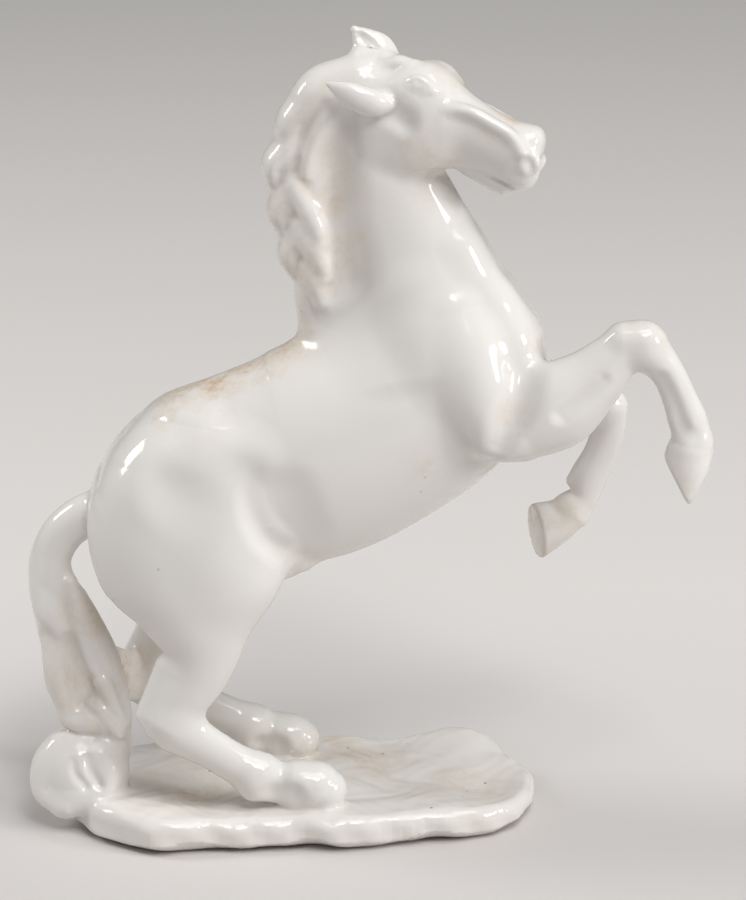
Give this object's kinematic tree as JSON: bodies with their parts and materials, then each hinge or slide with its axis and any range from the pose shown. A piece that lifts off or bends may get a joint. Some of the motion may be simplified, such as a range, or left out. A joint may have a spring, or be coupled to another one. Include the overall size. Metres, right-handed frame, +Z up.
{
  "type": "horse figurine",
  "caption": "White glazed porcelain figurine of a horse rearing on its hind legs, head turned to its right, its tail reaching down to an irregular ground slab.",
  "frame": {"origin": "middle of the bounding box, on the surface that the base stands on", "axes": "+X from the tail towards the horse's chest, +Y to the horse's left side, +Z up"},
  "size_m": [0.1676, 0.0646, 0.1989],
  "materials": {
    "porcelain": "clear gloss glaze over white porcelain, faint cream stains",
    "slab_glaze": "gloss glaze over white porcelain, wiped grey foot line"
  },
  "bodies": {
    "root": {"base": "slab_glaze", "trunk": "porcelain", "neck": "porcelain", "head": "porcelain", "right_ear": "porcelain", "left_ear": "porcelain", "mane": "porcelain", "right_foreleg": "porcelain", "left_foreleg": "porcelain", "right_hind_leg": "porcelain", "left_hind_leg": "porcelain", "tail": "porcelain", "tail_tuft": "porcelain"}
  },
  "joints": []
}
